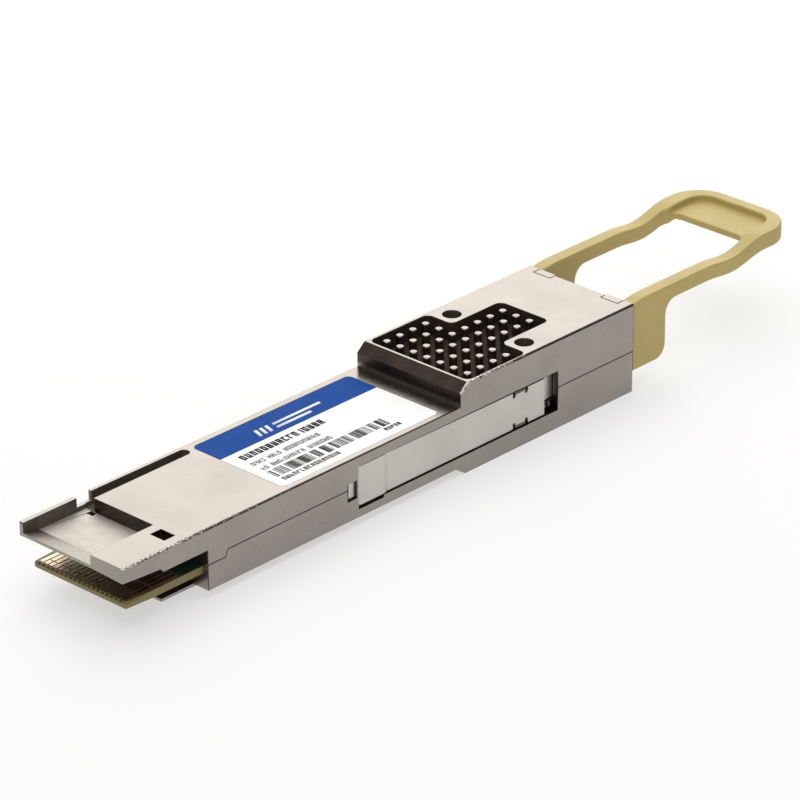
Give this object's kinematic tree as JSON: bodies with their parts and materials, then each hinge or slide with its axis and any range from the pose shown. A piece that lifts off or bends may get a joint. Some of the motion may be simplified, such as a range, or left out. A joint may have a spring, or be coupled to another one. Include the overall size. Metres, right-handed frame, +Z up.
{
  "type": "optical transceiver module",
  "caption": "Slim die-cast pluggable fibre-optic module with a card-edge nose, a raised pin-fin heat sink, a multi-fibre port and a looped pull tab on a sprung release frame.",
  "frame": {"origin": "centre of the bounding box's base, under the middle of the whole module", "axes": "+X from the card-edge nose to the pull tab, +Z up out of the cooling face, +Y across towards the thin nose wall"},
  "size_m": [0.1276, 0.0184, 0.0139],
  "materials": {
    "housing": "satin nickel plating on a die casting",
    "screw": "dark machined",
    "gasket": "matt conductive elastomer",
    "card": "glass laminate with green solder mask",
    "gold": "gold plated",
    "chip": "moulded package",
    "die": "polished silicon",
    "thermal_pad": "soft gap filler",
    "lens": "clear amber moulding",
    "ribbon": "fibre ribbon",
    "ferrule": "glass-filled moulding",
    "pin": "ground steel",
    "port_black": "black moulding",
    "hook_green": "dark green moulding",
    "sheet": "satin stamped sheet",
    "ceramic": "ceramic body",
    "ferrite": "ferrite body",
    "spring": "spring wire",
    "tab": "beige elastomer moulding",
    "label": "printed film"
  },
  "bodies": {
    "housing": {"top_shell": "housing", "bottom_shell": "housing", "housing_screws": "screw", "emi_gasket": "gasket", "front_emi_strips": "gasket", "paddle_card": "card", "contact_pads_top": "gold", "contact_pads_bottom": "gold", "signal_processor": "chip", "processor_thermal_pad": "thermal_pad", "laser_driver": "die", "receiver_amplifier": "die", "driver_thermal_pad": "thermal_pad", "laser_array": "die", "photodiode_array": "die", "lens_block": "lens", "ribbon_clamp": "port_black", "fibre_ribbon": "ribbon", "ferrule_boot": "gasket", "pin_keeper": "sheet", "mt_ferrule": "ferrule", "guide_pins": "pin", "ferrule_holder": "port_black", "port_insert": "port_black", "port_hooks": "hook_green", "port_retainer": "sheet", "microcontroller": "chip", "reference_oscillator": "sheet", "power_inductors": "ferrite", "power_regulators": "chip", "bulk_capacitors": "ceramic", "coupling_capacitors": "ceramic", "bias_resistors": "chip", "return_spring_left": "spring", "return_spring_right": "spring", "label": "label"},
    "release": {"release_frame": "sheet", "pull_tab": "tab"}
  },
  "joints": [
    {"name": "release_slide", "type": "slide", "parent": "housing", "child": "release", "axis": [1, 0, 0], "range_m": [0, 0.0022], "stiffness_N_per_m": 800, "springref_m": -0.001, "deforming": ["return_spring_left", "return_spring_right"]}
  ]
}
